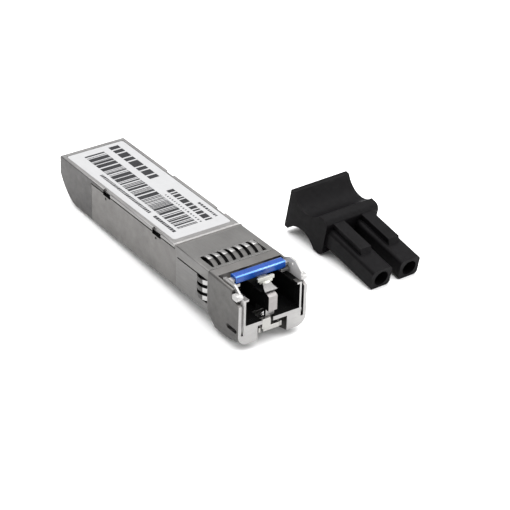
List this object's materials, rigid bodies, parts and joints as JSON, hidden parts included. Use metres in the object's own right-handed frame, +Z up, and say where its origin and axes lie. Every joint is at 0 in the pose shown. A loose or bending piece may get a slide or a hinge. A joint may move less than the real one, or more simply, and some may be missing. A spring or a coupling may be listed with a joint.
{
  "type": "optical transceiver module",
  "caption": "Pluggable duplex LC optical transceiver: cast body with sheet cover, contact-finger collar, bail latch with moulded grip, and a loose dust plug.",
  "frame": {"origin": "middle of the rear end, on the underside of the body: the point that enters the cage first", "axes": "+X from the rear end to the front face with the ports, +Z up out of the labelled cover, +Y to the left of someone looking along +X"},
  "size_m": [0.0565, 0.0412, 0.0122],
  "materials": {
    "housing_zinc": "nickel plated die casting, fine matt grain",
    "cover_metal": "nickel plated sheet, satin",
    "label_film": "white printed film",
    "collar_steel": "rolled spring sheet, satin",
    "insert_black": "moulded, matt",
    "can_metal": "nickel plated can",
    "barrel_steel": "turned steel",
    "sleeve_ceramic": "zirconia, ground",
    "flex_film": "polyimide film",
    "lead_gold": "gold plated",
    "retainer_steel": "stamped steel",
    "board_laminate": "green solder mask",
    "contact_gold": "hard gold plate",
    "chip_plastic": "moulding compound",
    "crystal_metal": "lapped lid",
    "capacitor_ceramic": "sintered ceramic",
    "resistor_body": "glazed film",
    "inductor_body": "ferrite",
    "pad_silicone": "filled silicone",
    "bail_steel": "stamped stainless sheet, bright",
    "grip_blue": "moulded, glossy",
    "tongue_steel": "polished spring sheet",
    "shaft_steel": "ground pin",
    "rocker_steel": "nickel plated casting",
    "pin_steel": "ground pin",
    "spring_steel": "spring strip",
    "plug_black": "moulded elastomer, satin"
  },
  "bodies": {
    "module": {"bottom_contacts": "contact_gold", "capacitors": "capacitor_ceramic", "circuit_board": "board_laminate", "controller": "chip_plastic", "crystal": "crystal_metal", "emi_collar": "collar_steel", "label": "label_film", "laser_driver": "chip_plastic", "lc_insert": "insert_black", "limiting_amplifier": "chip_plastic", "lower_housing": "housing_zinc", "osa_retainer": "retainer_steel", "resistors": "resistor_body", "rocker_pin": "pin_steel", "rocker_spring": "spring_steel", "rosa_barrel": "barrel_steel", "rosa_can": "can_metal", "rosa_flex": "flex_film", "rosa_leads": "lead_gold", "rosa_sleeve": "sleeve_ceramic", "supply_inductors": "inductor_body", "thermal_pad": "pad_silicone", "top_contacts": "contact_gold", "top_cover": "cover_metal", "tosa_barrel": "barrel_steel", "tosa_can": "can_metal", "tosa_flex": "flex_film", "tosa_leads": "lead_gold", "tosa_sleeve": "sleeve_ceramic"},
    "bail": {"bail_frame": "bail_steel", "bail_grip": "grip_blue", "bail_tongue": "tongue_steel", "bail_shaft": "shaft_steel"},
    "rocker": {"latch_rocker": "rocker_steel"},
    "plug": {"dust_plug": "plug_black"}
  },
  "joints": [
    {"name": "bail_hinge", "type": "hinge", "parent": "module", "child": "bail", "pos_m": [0.0536, 0, 0.0013], "axis": [0, 1, 0], "range_deg": [0, 90]},
    {"name": "rocker_tilt", "type": "hinge", "parent": "module", "child": "rocker", "pos_m": [0.0502, 0, 0.0003], "axis": [0, 1, 0], "range_deg": [0, 5], "deforming": ["rocker_spring"]},
    {"name": "plug_lift", "type": "slide", "parent": "module", "child": "plug", "axis": [0, 0, 1], "range_m": [0, 0.02]}
  ],
  "couplings": [
    {"joint": "rocker_tilt", "follows": "bail_hinge", "ratio": 0.055}
  ]
}
